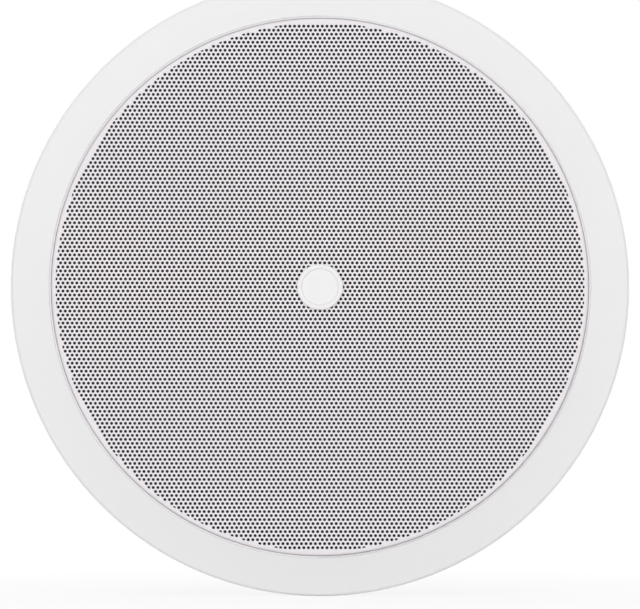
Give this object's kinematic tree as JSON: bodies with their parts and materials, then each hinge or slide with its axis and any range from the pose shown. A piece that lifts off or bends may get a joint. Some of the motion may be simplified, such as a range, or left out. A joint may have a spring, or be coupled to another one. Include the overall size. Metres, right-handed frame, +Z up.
{
  "type": "flush-mount loudspeaker",
  "caption": "Round flush-mount two-way loudspeaker: white flange, perforated grille with a bare centre boss, coaxial driver, crossover and swing-out clamps behind.",
  "frame": {"origin": "on the speaker's axis, in the plane of the flange's back face", "axes": "+Y along the axis into the wall, -Y out of the grille, +Z up, +X to the right seen from the front"},
  "size_m": [0.23, 0.0822, 0.23],
  "materials": {
    "white_moulding": "smooth satin ABS, white",
    "white_sheet": "matt white powder coat",
    "white_boss": "satin white, bare",
    "black_cloth": "open black acoustic cloth",
    "black_steel": "black satin paint on pressed steel",
    "foam_gasket": "dense black foam",
    "zinc_steel": "zinc plated",
    "rubber_surround": "butyl rubber",
    "treated_cloth": "resin treated cotton, amber",
    "ferrite": "sintered ferrite, dark grey",
    "dark_cone": "moulded polypropylene, dark grey",
    "aluminium_foil": "thin sheet",
    "copper_wire": "enamelled copper wire",
    "black_moulding": "fine textured",
    "red_moulding": "satin",
    "pale_moulding": "natural nylon",
    "silk_dome": "coated silk",
    "phenolic_board": "paper phenolic laminate",
    "capacitor_sleeve": "shrink sleeve",
    "cement": "cement filled ceramic",
    "tinned_brass": "tinned",
    "dog_nylon": "glass filled nylon"
  },
  "bodies": {
    "speaker_frame": {"mounting_frame": "white_moulding", "grille": "white_sheet", "grille_cloth": "black_cloth", "centre_badge": "white_boss", "woofer_basket": "black_steel", "basket_gasket": "foam_gasket", "woofer_screws": "zinc_steel", "surround": "rubber_surround", "spider": "treated_cloth", "top_plate": "zinc_steel", "magnet_ring": "ferrite", "back_plate": "zinc_steel", "tweeter_post": "zinc_steel", "post_nut": "zinc_steel", "tweeter_housing": "black_moulding", "tweeter_dome": "silk_dome", "crossover_board": "phenolic_board", "board_screws": "zinc_steel", "coil_bobbin": "pale_moulding", "coil_winding": "copper_wire", "large_capacitor": "capacitor_sleeve", "small_capacitor": "capacitor_sleeve", "cement_resistor": "cement", "terminal_block": "black_moulding", "tag_strip": "phenolic_board", "tag_lugs": "tinned_brass"},
    "cone_assembly": {"cone": "dark_cone", "coil_former": "aluminium_foil", "voice_coil": "copper_wire"},
    "red_terminal": {"red_tab": "red_moulding"},
    "black_terminal": {"black_tab": "black_moulding"},
    "clamp_screw_body_1": {"clamp_screw_1": "zinc_steel"},
    "clamp_dog_body_1": {"clamp_dog_1": "dog_nylon"},
    "clamp_screw_body_2": {"clamp_screw_2": "zinc_steel"},
    "clamp_dog_body_2": {"clamp_dog_2": "dog_nylon"},
    "clamp_screw_body_3": {"clamp_screw_3": "zinc_steel"},
    "clamp_dog_body_3": {"clamp_dog_3": "dog_nylon"},
    "clamp_screw_body_4": {"clamp_screw_4": "zinc_steel"},
    "clamp_dog_body_4": {"clamp_dog_4": "dog_nylon"}
  },
  "joints": [
    {"name": "cone_travel", "type": "slide", "parent": "speaker_frame", "child": "cone_assembly", "axis": [0, 1, 0], "range_m": [-0.004, 0.004], "stiffness_N_per_m": 1100, "deforming": ["surround", "spider"]},
    {"name": "red_push", "type": "slide", "parent": "speaker_frame", "child": "red_terminal", "axis": [0, -1, 0], "range_m": [0, 0.003], "stiffness_N_per_m": 700},
    {"name": "black_push", "type": "slide", "parent": "speaker_frame", "child": "black_terminal", "axis": [0, -1, 0], "range_m": [0, 0.003], "stiffness_N_per_m": 700},
    {"name": "clamp_swing_1", "type": "hinge", "parent": "speaker_frame", "child": "clamp_screw_body_1", "pos_m": [0.06329, 0.03, 0.06329], "axis": [0, 1, 0], "range_deg": [0, 90]},
    {"name": "clamp_draw_1", "type": "slide", "parent": "clamp_screw_body_1", "child": "clamp_dog_body_1", "axis": [0, -1, 0], "range_m": [0, 0.0335]},
    {"name": "clamp_swing_2", "type": "hinge", "parent": "speaker_frame", "child": "clamp_screw_body_2", "pos_m": [-0.06329, 0.03, 0.06329], "axis": [0, 1, 0], "range_deg": [0, 90]},
    {"name": "clamp_draw_2", "type": "slide", "parent": "clamp_screw_body_2", "child": "clamp_dog_body_2", "axis": [0, -1, 0], "range_m": [0, 0.0335]},
    {"name": "clamp_swing_3", "type": "hinge", "parent": "speaker_frame", "child": "clamp_screw_body_3", "pos_m": [-0.06329, 0.03, -0.06329], "axis": [0, 1, 0], "range_deg": [0, 90]},
    {"name": "clamp_draw_3", "type": "slide", "parent": "clamp_screw_body_3", "child": "clamp_dog_body_3", "axis": [0, -1, 0], "range_m": [0, 0.0335]},
    {"name": "clamp_swing_4", "type": "hinge", "parent": "speaker_frame", "child": "clamp_screw_body_4", "pos_m": [0.06329, 0.03, -0.06329], "axis": [0, 1, 0], "range_deg": [0, 90]},
    {"name": "clamp_draw_4", "type": "slide", "parent": "clamp_screw_body_4", "child": "clamp_dog_body_4", "axis": [0, -1, 0], "range_m": [0, 0.0335]}
  ]
}
